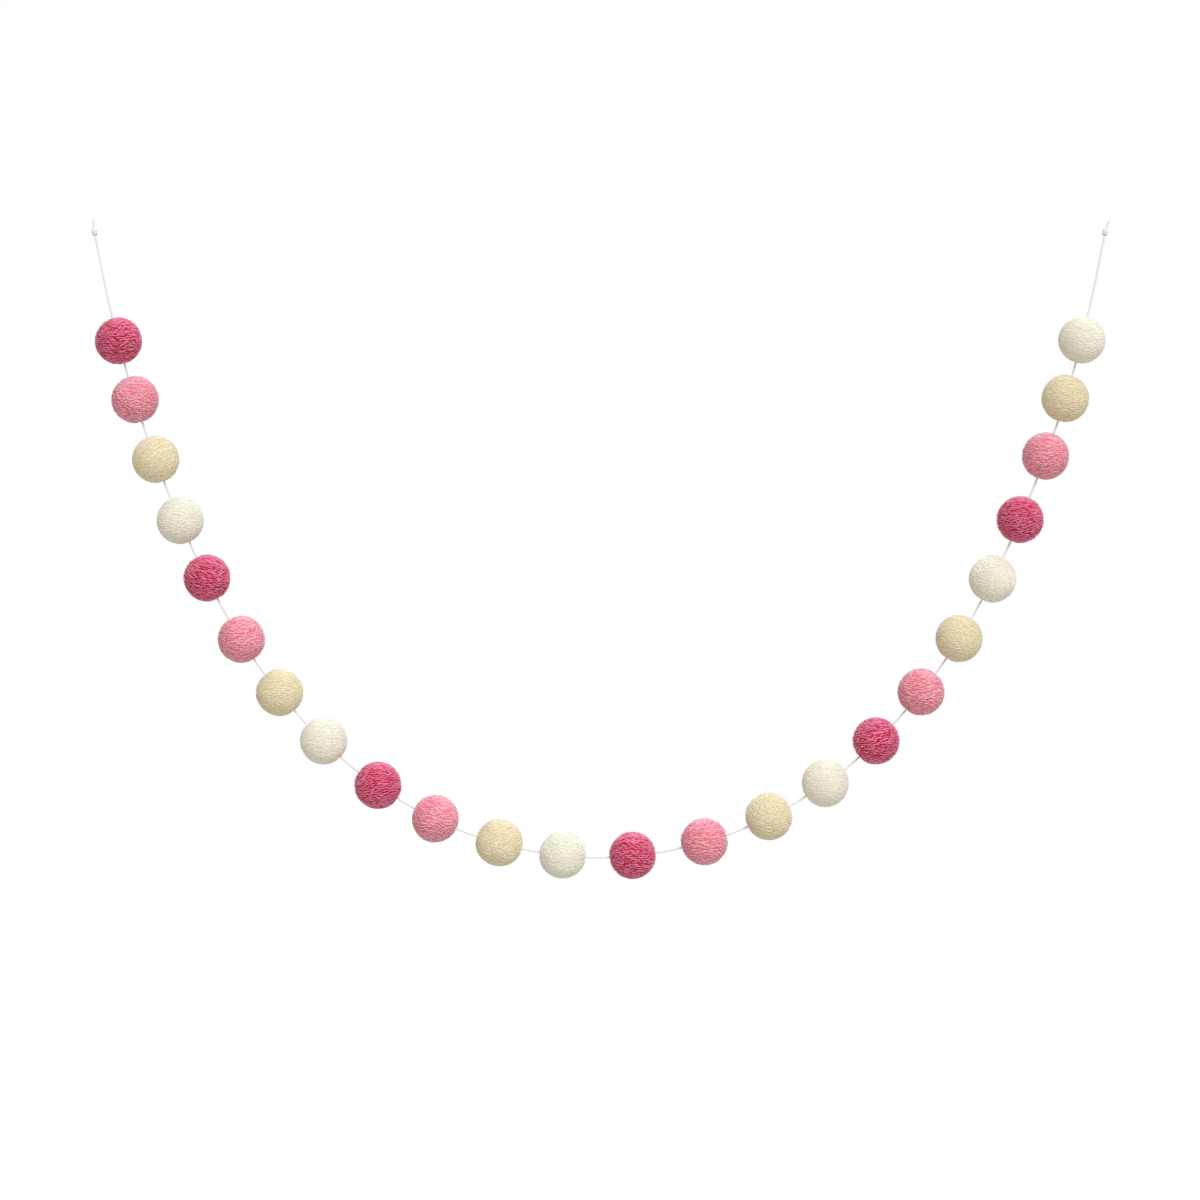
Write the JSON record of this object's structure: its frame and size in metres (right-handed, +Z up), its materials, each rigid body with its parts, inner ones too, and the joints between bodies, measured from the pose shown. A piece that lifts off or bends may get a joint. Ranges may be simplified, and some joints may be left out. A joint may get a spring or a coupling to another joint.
{
  "type": "felt ball garland",
  "caption": "Garland of wool felt balls in dark pink, pink, cream and white, threaded on a thin white string that hangs in a deep swag and ends in a knot at each side.",
  "frame": {"origin": "midway between the two end knots, on the level line from which the swag hangs", "axes": "+Z up, +X from the left knot to the right knot as seen from the front, -Y out of the front; the swag hangs in the XZ plane"},
  "size_m": [0.5356, 0.0246, 0.3425],
  "materials": {
    "wool_dark_pink": "matt wet-felted wool dyed dark pink, with short crinkled strands in relief",
    "wool_pink": "matt wet-felted wool dyed pink, with short crinkled strands in relief",
    "wool_cream": "matt wet-felted wool dyed cream, with short crinkled strands in relief",
    "wool_white": "matt wet-felted wool dyed off-white, with short crinkled strands in relief",
    "string_cotton": "matt twisted white cotton"
  },
  "bodies": {
    "root": {"ball_01": "wool_dark_pink", "ball_02": "wool_pink", "ball_03": "wool_cream", "ball_04": "wool_white", "ball_05": "wool_dark_pink", "ball_06": "wool_pink", "ball_07": "wool_cream", "ball_08": "wool_white", "ball_09": "wool_dark_pink", "ball_10": "wool_pink", "ball_11": "wool_cream", "ball_12": "wool_white", "ball_13": "wool_dark_pink", "ball_14": "wool_pink", "ball_15": "wool_cream", "ball_16": "wool_white", "ball_17": "wool_dark_pink", "ball_18": "wool_pink", "ball_19": "wool_cream", "ball_20": "wool_white", "ball_21": "wool_dark_pink", "ball_22": "wool_pink", "ball_23": "wool_cream", "ball_24": "wool_white", "string": "string_cotton", "knot_left": "string_cotton", "knot_right": "string_cotton"}
  },
  "joints": []
}
